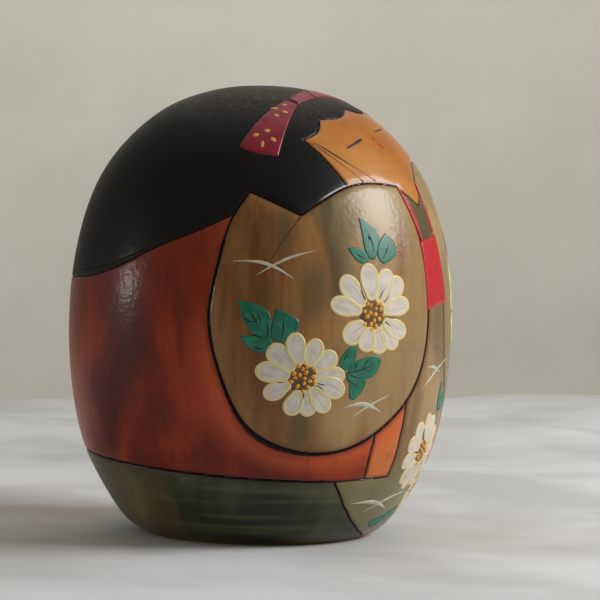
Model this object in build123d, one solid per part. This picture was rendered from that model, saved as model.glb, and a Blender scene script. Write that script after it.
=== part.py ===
from build123d import *
import math
import os

# An egg-shaped wooden doll, turned from one block and stood on a flat foot.
# Millimetres, +Z up, origin at the centre of the foot. The doll faces -Y,
# so its own right side is at -X.
#
# A chart is an upright plane through the axis, seen from one azimuth:
# 0 is the front of the doll, negative is its right side. A point in a chart
# is (sideways, height), and an outline drawn there is pushed straight out
# until it meets the curved wood.

# ---- driving dimensions ----
HEIGHT = 150.0
FOOT_RADIUS = 37.0
FOOT_HEIGHT = 0.8       # bare wood rim under the coloured fields
FIELD_DEPTH = 0.7       # thickness of a coloured field, and depth of the grooves
PAINT_DEPTH = 0.3       # thickness of the raised paint
GROOVE = 1.0            # width of a carved groove
SLEEVE_GROOVE = 1.5     # the groove round a sleeve is wider
REACH = 90.0            # how far an outline is pushed out
SLEEVE_AZIMUTH = -42.0  # the chart of the right sleeve

# radius and height of the turned side, from the foot to just under the crown
SIDE = [
    (38.4, FOOT_HEIGHT), (43.4, 4.0), (48.3, 10.0), (54.3, 20.0), (58.1, 28.0),
    (61.0, 38.0), (63.8, 58.0), (64.2, 70.0), (63.9, 80.0), (61.0, 100.0),
    (53.8, 120.0), (41.9, 135.0), (29.2, 144.0), (21.0, 147.1), (13.0, 149.05), (5.0, 149.88),
]

# where the black hair ends at the side and back: (y, height)
HAIR_LINE = [(75, 84), (49.5, 85.4), (35.7, 86.9), (20.8, 91.5), (6.6, 97.8), (-6.2, 102.9), (-16.3, 108.0)]
HEM_HEIGHT = 24.8       # the edge of the coat at the side
HEM_SLOPE = 0.057       # it rises towards the back

# sleeve outline in its chart: top edge, then round the bottom to the flap's tip
FLAP_CORNER = (-11.2, 108.0)
FLAP_TIP = (-25.7, 115.3)
SLEEVE_TOP = {
    "right": [(-0.5, 114.3), (6.9, 117.4), (18.3, 118.5), (27.2, 117.6)],
    "left": [(-0.5, 118.5), (8.5, 124.5), (18.0, 126.2), (30.8, 122.5), (35.3, 118.9)],
}
SLEEVE_INNER = {
    "right": [(35.2, 99.9), (37.8, 77.5)],
    "left": [(37.8, 102.0), (37.8, 79.0)],
}
SLEEVE_ROUND = [
    (35.7, 61.3), (28.9, 48.6), (20.5, 41.0), (9.1, 34.4), (-3.8, 31.9), (-16.0, 33.9),
    (-26.2, 39.5), (-35.3, 55.2), (-39.3, 75.7), (-36.2, 93.5), (-31.1, 107.9),
]

# face, in the front chart
EAR_RIGHT = (-33.7, 132.1)
EAR_LEFT = (22.0, 136.0)
BANG_CUSPS = [(-22.5, 138.8), (-5.8, 142.5), (9.0, 142.0)]
BANG_SAG = 1.0          # how far each lock bulges towards the face
NECK_TIP = (-2.5, 111.3)

# the front of the kimono, in the front chart
COAT_EDGE = [(-17.2, 60.0), (-16.3, 47.6), (-16.1, 37.1), (-15.1, 23.0)]
OVERLAP_EDGE = [(-34.7, 22.4), (-26.1, 13.6), (-19.5, 8.4), (-12.0, 4.4), (-3.0, 1.7), (4.0, -1.0)]


def moved_side(offset):
    """The side's points, moved outwards along their normals."""
    points = SIDE + [(0.0, HEIGHT)]
    moved = [(points[0][0] + offset, points[0][1])]
    for (r0, z0), (r, z), (r1, z1) in zip(points, points[1:], points[2:]):
        length = math.hypot(r1 - r0, z1 - z0)
        moved.append((r + offset * (z1 - z0) / length, z - offset * (r1 - r0) / length))
    moved.append((0.0, HEIGHT + offset))
    return moved


def side_curve(offset):
    return Spline(*moved_side(offset))


def turned(edges):
    return revolve(Plane.XZ * make_face(edges), Axis.Z)


def layer(inner, outer):
    """A thin coat all over the egg, between two offsets of its side."""
    inside, outside = moved_side(inner), moved_side(outer)
    ends = [Line(inside[0], outside[0]), Line(inside[-1], outside[-1])]
    return turned([side_curve(outer), side_curve(inner)] + ends)


def turned_core():
    """The wood itself: the egg less the depth of the coloured fields, on its foot."""
    inside = moved_side(-FIELD_DEPTH)
    foot = Polyline(inside[-1], (0, 0), (FOOT_RADIUS, 0), SIDE[0], inside[0])
    return turned([side_curve(-FIELD_DEPTH), foot])


def chart(azimuth):
    a = math.radians(azimuth)
    return Plane(origin=(0, 0, 0), x_dir=(math.cos(a), math.sin(a), 0), z_dir=(math.sin(a), -math.cos(a), 0))


def resized(face, grow):
    """The outline grown all round, with its curves redrawn as plain splines."""
    edges = []
    for edge in offset(face, grow, kind=Kind.ARC).edges():
        if edge.geom_type == GeomType.LINE:
            edges.append(Line(edge @ 0, edge @ 1))
        else:
            edges.append(Spline(*[edge @ (i / 8) for i in range(9)]))
    return make_face(edges)


def push_out(face, azimuth, grow=0.0):
    """A flat outline in a chart, grown and pushed outwards into a prism."""
    if grow:
        face = resized(face, grow)
    plane = chart(azimuth)
    return extrude(plane * face, REACH, dir=plane.z_dir)


def push_up(face):
    """A flat outline seen from above, pushed up through the crown."""
    return extrude(Plane.XY.offset(HEIGHT * 0.6) * face, REACH)


def polygon(*points):
    return make_face(Polyline(*points, close=True))


# ---- outlines of the coloured fields ----
def sleeve_outline(side):
    top = [FLAP_CORNER] + SLEEVE_TOP[side]
    rest = [top[-1]] + SLEEVE_INNER[side] + SLEEVE_ROUND + [FLAP_TIP]
    return make_face(Spline(*top) + Spline(*rest) + Line(FLAP_TIP, FLAP_CORNER))


def lobe(start, end):
    """One lock of the fringe: an arc that sags towards the face."""
    middle = ((start[0] + end[0]) / 2, (start[1] + end[1]) / 2 - BANG_SAG)
    return ThreePointArc(start, middle, end)


def face_outline():
    stations = [EAR_RIGHT] + BANG_CUSPS + [EAR_LEFT]
    edges = [lobe(a, b) for a, b in zip(stations, stations[1:])]
    edges.append(Polyline(EAR_LEFT, (26.0, 124.0), (26.0, 112.0), (3.5, 112.0), (1.4, 118.9)))
    edges.append(Spline((1.4, 118.9), (0.2, 114.7), NECK_TIP))
    edges.append(Polyline(NECK_TIP, (-6.7, 113.7), (-12.5, 117.3), (-15.0, 113.0), (-31.3, 113.0)))
    edges.append(Spline((-31.3, 113.0), (-32.9, 122.7), EAR_RIGHT))
    return make_face(edges)


def front_outline():
    """Collar, kimono front and the front of the skirt, down to the foot."""
    right = COAT_EDGE + OVERLAP_EDGE
    far = COAT_EDGE + [OVERLAP_EDGE[0], (-30.0, -1.0)]
    left = [(-x, z) for x, z in reversed(far)]
    return polygon((-15.0, 117.0), (-15.0, 90.0), *right, *left, (15.0, 90.0), (12.0, 122.0))


# ---- the egg and its layers ----
core = turned_core()
shell = layer(-FIELD_DEPTH, 0.0)
paint_layer = layer(0.0, PAINT_DEPTH)


def sleeve_prism(side, grow):
    prism = push_out(sleeve_outline(side), SLEEVE_AZIMUTH, grow)
    if side == "left":
        prism = mirror(prism, about=Plane.YZ)
    return prism


def above_hair_line():
    edge = Spline(*HAIR_LINE)
    rest = Polyline(HAIR_LINE[-1], (-90, 108.0), (-90, 200), (90, 200), (90, 84), HAIR_LINE[0])
    return extrude(Plane.YZ * make_face(edge + rest), 100, both=True)


def above_hem():
    tilt = math.degrees(math.atan(HEM_SLOPE))
    block = Location((0, 0, HEM_HEIGHT), (tilt, 0, 0)) * Box(
        300, 300, 300, align=(Align.CENTER, Align.CENTER, Align.MIN))
    return block


def fields():
    """Every coloured field of the wood, split by the carved grooves."""
    half = GROOVE / 2
    sleeve_half = SLEEVE_GROOVE / 2
    right_cut = sleeve_prism("right", sleeve_half)
    left_cut = sleeve_prism("left", sleeve_half)
    face_cut = push_out(face_outline(), 0, half)
    front_cut = push_out(front_outline(), 0, half)
    upper = above_hair_line()
    coat_up = above_hem()
    return {
        "hair": (shell & Pos(0, 0, half) * upper) - right_cut - left_cut - face_cut - front_cut,
        "face": (shell & push_out(face_outline(), 0, -half)) - right_cut - left_cut,
        "sleeve_right": shell & sleeve_prism("right", -sleeve_half),
        "sleeve_left": shell & sleeve_prism("left", -sleeve_half),
        "kimono_front": (shell & push_out(front_outline(), 0, -half)) - right_cut - left_cut - face_cut,
        "coat": ((shell & Pos(0, 0, half) * coat_up) - Pos(0, 0, -half) * upper)
                - right_cut - left_cut - front_cut,
        "skirt": (shell - Pos(0, 0, -half) * coat_up) - front_cut,
    }


# ---- raised paint ----
def raised(prism):
    return paint_layer & prism


def petals(azimuth, height, radius, count, hub):
    """A ring of round-ended petals about an open hub, as one flat outline."""
    width = 1.12 * math.pi * radius / count
    outline = Circle(hub + 1.0)
    for i in range(count):
        length = radius - width / 2
        petal = Pos(length / 2, 0) * Rectangle(length, width * 0.72) + Pos(length, 0) * Circle(width / 2)
        outline += Rot(0, 0, 360 * i / count + 90) * petal
    return raised(push_out(Pos(0, height) * (outline - Circle(hub + 0.15)), azimuth))


def hub_disc(azimuth, height, hub):
    return raised(push_out(Pos(0, height) * Circle(hub), azimuth))


def leaf(base, tip, width):
    """A leaf: two arcs between its base and its tip."""
    dx, dz = tip[0] - base[0], tip[1] - base[1]
    length = math.hypot(dx, dz)
    side = (-dz / length * width / 2, dx / length * width / 2)
    middle = (base[0] + 0.45 * dx, base[1] + 0.45 * dz)
    one = ThreePointArc(base, (middle[0] + side[0], middle[1] + side[1]), tip)
    other = ThreePointArc(tip, (middle[0] - side[0], middle[1] - side[1]), base)
    return make_face(one + other)


def leaves(azimuth, *blades):
    outline = leaf(*blades[0])
    for blade in blades[1:]:
        outline += leaf(*blade)
    return raised(push_out(outline, azimuth))


def needles(azimuth, *strokes):
    """Crossed pine needles: thin strokes joined where they cross."""
    return leaves(azimuth, *[(a, b, 0.9) for a, b in strokes])


SLEEVE_FLOWERS = {
    # name: azimuth, height, radius
    "upper": (-31.0, 77.5, 15.0),
    "lower": (-53.0, 57.2, 14.3),
}
FRONT_FLOWERS = {
    "skirt": (0.5, 30.8, 13.2),
    "hem": (15.5, 16.2, 8.8),
}
PETAL_COUNT = 11
HUB_SHARE = 0.32        # hub radius over flower radius

SLEEVE_LEAVES = {
    "top": [((14.5, 92.5), (8.5, 107.0), 5.5), ((14.5, 92.5), (20.8, 101.0), 6.0), ((14.5, 92.5), (4.0, 97.2), 3.5)],
    "back": [((-21.5, 67.8), (-31.0, 80.7), 7.0), ((-21.5, 67.8), (-30.7, 69.4), 5.0),
             ((-21.5, 67.8), (-18.5, 79.0), 7.0)],
    "low": [((3.2, 58.0), (6.3, 66.3), 5.0), ((3.2, 58.0), (15.9, 62.3), 6.5), ((3.2, 58.0), (6.5, 49.8), 4.5)],
}
SLEEVE_NEEDLES = {
    "top": [((-32.8, 93.2), (-14.3, 87.9)), ((-6.6, 97.1), (-26.4, 89.0))],
    "low": [((2.8, 47.0), (17.3, 44.9)), ((20.4, 50.6), (5.6, 43.5))],
}
FRONT_LEAVES = {
    "skirt": [((8.0, 44.8), (7.0, 52.5), 4.0), ((8.0, 44.8), (11.5, 48.5), 3.0)],
    "hem": [((-1.0, 7.6), (-9.9, 6.6), 3.0), ((-3.2, 7.3), (5.8, 8.6), 3.0)],
}
FRONT_NEEDLES = {
    "front": [((12.8, 60.5), (-6.5, 51.9)), ((-6.2, 58.9), (6.0, 55.6))],
    "hem": [((-24.0, 14.6), (-4.1, 12.0)), ((3.0, 16.4), (-17.4, 10.9))],
}


def cut_to(outline, pieces):
    """Keep a motif clear of a groove by trimming it to its field's prism."""
    return pieces & outline


def sleeve_paint():
    made = {}
    for side in ("right", "left"):
        inside = push_out(sleeve_outline("right"), SLEEVE_AZIMUTH, -SLEEVE_GROOVE)
        group = {}
        for name, (azimuth, height, radius) in SLEEVE_FLOWERS.items():
            hub = radius * HUB_SHARE
            group[f"flower_{name}_petals"] = petals(azimuth, height, radius, PETAL_COUNT, hub)
            group[f"flower_{name}_heart"] = hub_disc(azimuth, height, hub)
        for name, blades in SLEEVE_LEAVES.items():
            group[f"leaves_{name}"] = leaves(SLEEVE_AZIMUTH, *blades)
        for name, strokes in SLEEVE_NEEDLES.items():
            group[f"needles_{name}"] = needles(SLEEVE_AZIMUTH, *strokes)
        flowers = group["flower_upper_petals"] + group["flower_lower_petals"]
        for name, solid in group.items():
            if name.startswith("leaves"):
                solid = solid - flowers
            solid = cut_to(inside, solid)
            if side == "left":
                solid = mirror(solid, about=Plane.YZ)
            made[f"{name}_{side}"] = solid
    return made


def front_paint():
    inside = push_out(front_outline(), 0, -GROOVE) - sleeve_prism("right", GROOVE) - sleeve_prism("left", GROOVE)
    made = {}
    for name, (azimuth, height, radius) in FRONT_FLOWERS.items():
        hub = radius * HUB_SHARE
        made[f"flower_{name}_petals"] = cut_to(inside, petals(azimuth, height, radius, PETAL_COUNT, hub))
        made[f"flower_{name}_heart"] = cut_to(inside, hub_disc(azimuth, height, hub))
    flowers = made["flower_skirt_petals"] + made["flower_hem_petals"]
    for name, blades in FRONT_LEAVES.items():
        made[f"leaves_{name}"] = cut_to(inside, leaves(0, *blades)) - flowers
    for name, strokes in FRONT_NEEDLES.items():
        made[f"needles_{name}"] = cut_to(inside, needles(0, *strokes)) - flowers
    obi = polygon((-8.0, 99.9), (-2.0, 101.4), (8.0, 101.8), (8.0, 79.6), (-8.0, 77.5))
    made["sash"] = cut_to(inside, raised(push_out(obi, 0)))
    made["collar_edge_right"] = cut_to(inside, raised(push_out(polygon(
        (-11.0, 115.0), (-8.2, 112.5), (-4.6, 101.8), (-8.0, 101.8), (-11.0, 110.0)), 0)))
    made["collar_edge_left"] = cut_to(inside, raised(push_out(polygon(
        (0.2, 113.0), (1.4, 117.6), (4.0, 112.0), (6.0, 103.0), (1.8, 103.0)), 0)))
    return made


def ribbon():
    """A crimson ribbon across the crown: two tails and the knot between."""
    tail = polygon((-21.3, -17.6), (-21.5, -21.4), (-35.7, -25.7), (-42.7, -25.1), (-43.9, -11.9))
    knot = polygon((-20.4, -17.7), (-6.2, -17.2), (-11.0, -22.2), (-20.6, -21.5))
    far_tail = polygon((-5.4, -17.2), (21.9, -11.9), (20.7, -25.1), (13.7, -25.7), (-10.0, -22.3))
    return {
        "ribbon_tail_right": raised(push_up(tail)),
        "ribbon_knot": raised(push_up(knot)),
        "ribbon_tail_left": raised(push_up(far_tail)),
    }


def stroke(start, end, width):
    return raised(push_out(leaf(start, end, width), 0))


def features():
    return {
        "eye_right": stroke((-23.8, 129.5), (-14.6, 132.6), 0.9),
        "eye_left": stroke((-3.5, 135.5), (5.7, 136.5), 0.9),
        "mouth": stroke((-8.4, 133.0), (-7.3, 129.8), 0.8),
    }


os.makedirs("parts", exist_ok=True)
pieces = {"turned_body": core}
pieces.update(fields())
pieces.update(sleeve_paint())
pieces.update(front_paint())
pieces.update(ribbon())
pieces.update(features())
for node, shape in pieces.items():
    export_step(shape, f"parts/{node}.step")
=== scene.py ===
"""Looks of the egg-shaped kokeshi doll: relief-carved wood, stains, raised paint and varnish."""
import math
import random

import bpy
import numpy as np
from mathutils import Matrix, Vector


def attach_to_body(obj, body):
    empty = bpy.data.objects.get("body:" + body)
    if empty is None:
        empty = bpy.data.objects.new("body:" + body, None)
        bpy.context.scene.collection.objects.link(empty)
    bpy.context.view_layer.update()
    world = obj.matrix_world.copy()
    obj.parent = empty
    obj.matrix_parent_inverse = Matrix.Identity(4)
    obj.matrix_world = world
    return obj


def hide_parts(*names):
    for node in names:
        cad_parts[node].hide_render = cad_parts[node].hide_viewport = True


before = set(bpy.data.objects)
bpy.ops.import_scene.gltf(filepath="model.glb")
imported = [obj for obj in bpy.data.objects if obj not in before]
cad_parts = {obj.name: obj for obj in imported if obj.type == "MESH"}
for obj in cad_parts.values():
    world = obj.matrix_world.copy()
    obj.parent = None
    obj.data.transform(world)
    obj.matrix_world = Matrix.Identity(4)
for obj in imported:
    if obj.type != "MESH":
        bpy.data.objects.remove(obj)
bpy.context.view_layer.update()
random.seed(7)

# ---------------------------------------------------------------- dimensions
# Outlines are in millimetres, meshes in metres. A chart is an upright plane
# through the axis seen from one azimuth (0 is the doll's front, negative its
# right side); a point in it is (sideways, height). The top chart is (x, y).
MM = 0.001
HEIGHT = 150.0
FOOT_RADIUS = 37.0
FOOT_HEIGHT = 0.8
SIDE = [
    (38.4, FOOT_HEIGHT), (43.4, 4.0), (48.3, 10.0), (54.3, 20.0), (58.1, 28.0),
    (61.0, 38.0), (63.8, 58.0), (64.2, 70.0), (63.9, 80.0), (61.0, 100.0),
    (53.8, 120.0), (41.9, 135.0), (29.2, 144.0), (21.0, 147.1), (13.0, 149.05), (5.0, 149.88),
]
SIDE_STEPS = 40         # curve steps between two of the side's points
SHOULDER = 80.0         # above this height the radius only shrinks
COLUMNS = 800
ROWS = 440
SLAB = 1.6              # thickness of a coloured field's own shell
GROOVE_DEPTH = 0.55
GROOVE_HALF = 0.55      # half width of an ordinary carved line
HAIR_GROOVE_HALF = 0.45 * GROOVE_HALF
FACE_GROOVE_HALF = 0.7 * GROOVE_HALF
INNER_GROOVE_HALF = 0.8 * GROOVE_HALF   # on the kimono front's own side of its edge
SLEEVE_GROOVE_HALF = 0.75
BURY = 0.35             # how far raised paint reaches under the surface
FAR = 1e3               # more than any distance that matters on the doll
TOP = "top"
SLEEVE_AZIMUTH = -42.0

HAIR_LINE = [
    (75, 84), (49.5, 85.4), (35.7, 86.9), (20.8, 91.5), (6.6, 97.8), (-6.2, 102.9), (-16.3, 108.0),
]
HEM_HEIGHT = 24.8
HEM_SLOPE = 0.057
FLAP_CORNER = (-11.2, 108.0)
FLAP_TIP = (-25.7, 115.3)
SLEEVE_TOP = {
    "right": [(-0.5, 114.3), (6.9, 117.4), (18.3, 118.5), (27.2, 117.6)],
    "left": [(-0.5, 118.5), (8.5, 124.5), (18.0, 126.2), (30.8, 122.5), (35.3, 118.9)],
}
SLEEVE_INNER = {
    "right": [(35.2, 99.9), (37.8, 77.5)],
    "left": [(37.8, 102.0), (37.8, 79.0)],
}
SLEEVE_ROUND = [
    (35.7, 61.3), (28.9, 48.6), (20.5, 41.0), (9.1, 34.4), (-3.8, 31.9), (-16.0, 33.9),
    (-26.2, 39.5), (-35.3, 55.2), (-39.3, 75.7), (-36.2, 93.5), (-31.1, 107.9),
]
EAR_RIGHT = (-33.7, 132.1)
EAR_LEFT = (22.0, 136.0)
BANG_CUSPS = [(-22.5, 138.8), (-5.8, 142.5), (9.0, 142.0)]
BANG_SAG = 1.0
NECK_TIP = (-2.5, 111.3)
COLLAR_LEFT = (1.4, 118.9)
COLLAR_RIGHT = (-12.5, 117.3)
JAW_RIGHT = (-31.3, 113.0)
COAT_EDGE = [(-17.2, 60.0), (-16.3, 47.6), (-16.1, 37.1), (-15.1, 23.0)]
OVERLAP_EDGE = [(-34.7, 22.4), (-26.1, 13.6), (-19.5, 8.4), (-12.0, 4.4), (-3.0, 1.7), (4.0, -1.0)]


# ---------------------------------------------------------------- curves
def spline(points, steps=10):
    """A natural cubic through the points, spaced by chord length."""
    p = np.array(points, float)
    if len(p) == 2:
        return p[0] + (p[1] - p[0]) * np.linspace(0, 1, steps + 1)[:, None]
    h = np.linalg.norm(np.diff(p, axis=0), axis=1)
    n = len(p)
    a = np.eye(n)
    b = np.zeros((n, p.shape[1]))
    for i in range(1, n - 1):
        a[i, i - 1:i + 2] = h[i - 1], 2 * (h[i - 1] + h[i]), h[i]
        b[i] = 6 * ((p[i + 1] - p[i]) / h[i] - (p[i] - p[i - 1]) / h[i - 1])
    m = np.linalg.solve(a, b)
    out = []
    for i in range(n - 1):
        t = np.linspace(0, h[i], steps, endpoint=False)[:, None]
        s = h[i] - t
        out.append(m[i] * s ** 3 / (6 * h[i]) + m[i + 1] * t ** 3 / (6 * h[i])
                   + (p[i] / h[i] - m[i] * h[i] / 6) * s + (p[i + 1] / h[i] - m[i + 1] * h[i] / 6) * t)
    out.append(p[-1:])
    return np.concatenate(out)


def join(*runs):
    """Curves end to end, without repeating the shared points."""
    out = [np.array(runs[0], float)]
    for run in runs[1:]:
        out.append(np.array(run, float)[1:])
    return np.concatenate(out)


def smooth(x):
    x = np.clip(x, 0.0, 1.0)
    return x * x * (3 - 2 * x)


def lengths(curve):
    """Length along a curve at each of its points."""
    return np.concatenate([[0], np.cumsum(np.linalg.norm(np.diff(curve, axis=0), axis=1))])


def sampled(s, length, values):
    """The columns of values, given at some lengths along a curve, at the lengths s."""
    return np.stack([np.interp(s, length, column) for column in values.T], -1)


def tangents(curve):
    along = np.gradient(curve, axis=0)
    return along / np.linalg.norm(along, axis=1)[:, None]


# ---------------------------------------------------------------- the turned side
over_crown = [(-r, z) for r, z in SIDE[:-3:-1]]
side_curve = spline(SIDE + [(0.0, HEIGHT)] + over_crown, SIDE_STEPS)[:len(SIDE) * SIDE_STEPS + 1]
side_length = lengths(side_curve)
side_tangent = tangents(side_curve)
crown_curve = side_curve[side_curve[:, 1] > SHOULDER]


def side_at(z):
    """Radius and outward normal (radial, up) of the side at a height."""
    z = np.clip(z, FOOT_HEIGHT, HEIGHT)
    r = np.interp(z, side_curve[:, 1], side_curve[:, 0])
    tr = np.interp(z, side_curve[:, 1], side_tangent[:, 0])
    tz = np.interp(z, side_curve[:, 1], side_tangent[:, 1])
    return r, tz, -tr


def chart_axes(azimuth):
    a = math.radians(azimuth)
    sideways = np.array([math.cos(a), math.sin(a), 0.0])
    outwards = np.array([math.sin(a), -math.cos(a), 0.0])
    return sideways, outwards


def on_egg(azimuth, points, lift=0.0):
    """Chart points carried onto the egg, and raised off it by lift."""
    points = np.asarray(points, float)
    if azimuth == TOP:
        r = np.hypot(points[..., 0], points[..., 1])
        z = np.interp(-r, -crown_curve[:, 0], crown_curve[:, 1])
        place = np.stack([points[..., 0], points[..., 1], z], -1)
    else:
        sideways, outwards = chart_axes(azimuth)
        z = points[..., 1]
        r = side_at(z)[0]
        u = np.clip(points[..., 0], -0.999 * r, 0.999 * r)
        depth = np.sqrt(r * r - u * u)
        place = u[..., None] * sideways + depth[..., None] * outwards
        place[..., 2] = z
    r, nr, nz = side_at(place[..., 2])
    flat = np.maximum(np.hypot(place[..., 0], place[..., 1]), 1e-6)
    normal = np.stack([place[..., 0] / flat * nr, place[..., 1] / flat * nr, nz], -1)
    return place + normal * np.asarray(lift)[..., None]


# ---------------------------------------------------------------- outlines
def sleeve_outline(which):
    top = [FLAP_CORNER] + SLEEVE_TOP[which]
    rest = [top[-1]] + SLEEVE_INNER[which] + SLEEVE_ROUND + [FLAP_TIP]
    return join(spline(top), spline(rest))


def lobe(start, end):
    middle = ((start[0] + end[0]) / 2, (start[1] + end[1]) / 2 - BANG_SAG)
    return spline([start, middle, end], 8)


def face_outline():
    stations = [EAR_RIGHT] + BANG_CUSPS + [EAR_LEFT]
    fringe = [lobe(a, b) for a, b in zip(stations, stations[1:])]
    left = [EAR_LEFT, (26.0, 124.0), (26.0, 112.0), (3.5, 112.0), COLLAR_LEFT]
    neck = join(spline([COLLAR_LEFT, (0.2, 114.7), NECK_TIP]), [NECK_TIP, (-6.7, 113.7), COLLAR_RIGHT])
    right = [COLLAR_RIGHT, (-15.0, 113.0), JAW_RIGHT]
    return join(*fringe, left, neck, right, spline([JAW_RIGHT, (-32.9, 122.7), EAR_RIGHT]))


def front_outline():
    right = [(-15.0, 117.0), (-15.0, 90.0)] + COAT_EDGE + OVERLAP_EDGE
    far = COAT_EDGE + [OVERLAP_EDGE[0], (-30.0, -1.0)]
    left = [(-x, z) for x, z in reversed(far)] + [(15.0, 90.0), (12.0, 122.0)]
    return np.array(right + left, float)


def inside(points, outline):
    """Even-odd test of chart points against a closed outline."""
    x, y = points[:, 0], points[:, 1]
    found = np.zeros(len(points), bool)
    for (x0, y0), (x1, y1) in zip(outline, np.roll(outline, -1, axis=0)):
        if y0 == y1:
            continue
        crosses = (y0 > y) != (y1 > y)
        found ^= crosses & (x < (x1 - x0) * (y - y0) / (y1 - y0) + x0)
    return found


def gaps(points, outline, closed=True):
    """From each stretch of an outline: the vectors to the points, and their lengths."""
    ends = np.roll(outline, -1, axis=0) if closed else outline[1:]
    for a, b in zip(outline, ends):
        ab = b - a
        size = ab @ ab
        if size < 1e-12:
            continue
        t = np.clip(((points - a) @ ab) / size, 0, 1)
        away = points - (a + t[:, None] * ab)
        yield away, np.hypot(away[:, 0], away[:, 1])


def to_outline(points, normals, sideways, outline, closed=True):
    """Distance along the surface from chart points to an outline."""
    best = np.full(len(points), 1e9)
    lean = np.zeros(len(points))
    for away, d in gaps(points, outline, closed):
        closer = d < best
        best[closer] = d[closer]
        away = away[closer] / np.maximum(d[closer], 1e-9)[:, None]
        lean[closer] = away[:, 0] * (normals[closer] @ sideways) + away[:, 1] * normals[closer, 2]
    return best / np.sqrt(np.clip(1 - lean ** 2, 0.08, 1))


# ---------------------------------------------------------------- the egg's grid
def egg_grid():
    """Rows from the foot to the crown, columns round the axis, crown vertex last."""
    along = np.linspace(0, side_length[-1], ROWS + 1)[:-1]
    r, z = sampled(along, side_length, side_curve).T
    tr, tz = sampled(along, side_length, side_tangent).T
    turn = np.linspace(-math.pi, math.pi, COLUMNS, endpoint=False)
    s, c, level = np.sin(turn), -np.cos(turn), np.ones(COLUMNS)
    place = np.stack([np.outer(r, s), np.outer(r, c), np.outer(z, level)], -1).reshape(-1, 3)
    normal = np.stack([np.outer(tz, s), np.outer(tz, c), np.outer(-tr, level)], -1).reshape(-1, 3)
    place = np.vstack([place, [[0, 0, HEIGHT]]])
    normal = np.vstack([normal, [[0, 0, 1.0]]])
    i, j = np.meshgrid(np.arange(ROWS - 1), np.arange(COLUMNS), indexing="ij")
    here, following = i * COLUMNS + j, i * COLUMNS + (j + 1) % COLUMNS
    quads = np.stack([here, following, following + COLUMNS, here + COLUMNS], -1).reshape(-1, 4)
    last = (ROWS - 1) * COLUMNS
    crown = [(last + a, last + (a + 1) % COLUMNS, len(place) - 1) for a in range(COLUMNS)]
    return place, normal, quads, crown


FIELDS = ["hair", "face", "sleeve_right", "sleeve_left", "kimono_front", "coat", "skirt"]


def divide(place, normal):
    """For each vertex: its field, its distance to a carved line in groove half widths,
    its distance to a sleeve's edge, and its tint."""
    height = place[:, 2]
    front = place[:, 1] < 0

    def chart(azimuth, mask):
        sideways = chart_axes(azimuth)[0]
        return np.stack([place[mask] @ sideways, height[mask]], -1), normal[mask], sideways

    def cover(azimuth, mask, outline):
        """Whether each vertex is inside the outline, and its distance to the line."""
        within = np.zeros(len(place), bool)
        gap = np.full(len(place), FAR)
        flat, n, sideways = chart(azimuth, mask)
        within[mask] = inside(flat, outline)
        gap[mask] = to_outline(flat, n, sideways, outline)
        return within, gap

    def facing(azimuth):
        return place @ chart_axes(azimuth)[1] > 5

    in_face, face_gap = cover(0, front & (height > 105), face_outline())
    in_front, front_gap = cover(0, front & (np.abs(place[:, 0]) < 42) & (height < 128), front_outline())
    hem = HEM_HEIGHT + HEM_SLOPE * place[:, 1]
    hair_curve = join(spline(HAIR_LINE), [HAIR_LINE[-1], (-90.0, 108.0)])[::-1]
    hair_line = np.interp(place[:, 1], hair_curve[:, 0], hair_curve[:, 1])
    steep = np.interp(place[:, 1], hair_curve[:, 0], np.gradient(hair_curve[:, 1], hair_curve[:, 0]))
    hair_gap = np.abs(height - hair_line) / np.sqrt(1 + steep ** 2)

    field = np.full(len(place), FIELDS.index("skirt"))
    field[height > hem] = FIELDS.index("coat")
    field[height > hair_line] = FIELDS.index("hair")
    ratio = np.minimum(np.abs(height - hem) / GROOVE_HALF, hair_gap / HAIR_GROOVE_HALF)
    ratio = np.minimum(ratio, face_gap / FACE_GROOVE_HALF)
    ratio = np.minimum(ratio, front_gap / GROOVE_HALF)
    field[in_front] = FIELDS.index("kimono_front")
    ratio[in_front] = np.minimum(front_gap, face_gap)[in_front] / INNER_GROOVE_HALF
    field[in_face] = FIELDS.index("face")
    ratio[in_face] = face_gap[in_face] / FACE_GROOVE_HALF

    sleeve_chart = {}
    pillow = np.full(len(place), FAR)
    for which, sign in (("right", 1), ("left", -1)):
        azimuth = sign * SLEEVE_AZIMUTH
        near = facing(azimuth) & (height > 14) & (height < 131)
        within, gap = cover(azimuth, near, sleeve_outline(which) * (sign, 1))
        u = place @ chart_axes(azimuth)[0] * sign
        # the line is finer above, and wider outside the sleeve's lower corner
        half = SLEEVE_GROOVE_HALF * np.where(height > 100, 0.6, 1.0)
        half = half + np.where(within, 0.0, 1.1) * np.exp(-((u + 20) ** 2 + (height - 37) ** 2) / 14 ** 2)
        field[within] = FIELDS.index("sleeve_" + which)
        ratio[within] = FAR
        ratio = np.minimum(ratio, gap / half)
        sleeve_chart[which] = np.where(sign * place[:, 0] < 0, u, -99.0)
        pillow = np.minimum(pillow, gap)
    for azimuth, name, curve, half in CARVED:
        for sign in (1, -1):
            near = facing(sign * azimuth) & (field == FIELDS.index(name))
            flat, n, sideways = chart(sign * azimuth, near)
            line = spline(curve) * (sign, 1)
            ratio[near] = np.minimum(ratio[near], to_outline(flat, n, sideways, line, False) / half)
    return field, ratio, pillow, tints(place, field, sleeve_chart)


# extra carved lines, on both sides: azimuth, field, curve, half width
CARVED = [
    (SLEEVE_AZIMUTH, "coat", [(16.0, 38.0), (15.0, 30.8), (14.6, 22.0)], 0.5),
    (-90.0, "hair", [(-50.0, 87.4), (-44.2, 88.1), (-32.1, 90.2), (-20.0, 93.0), (-12.0, 96.0)], 0.28),
]


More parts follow.
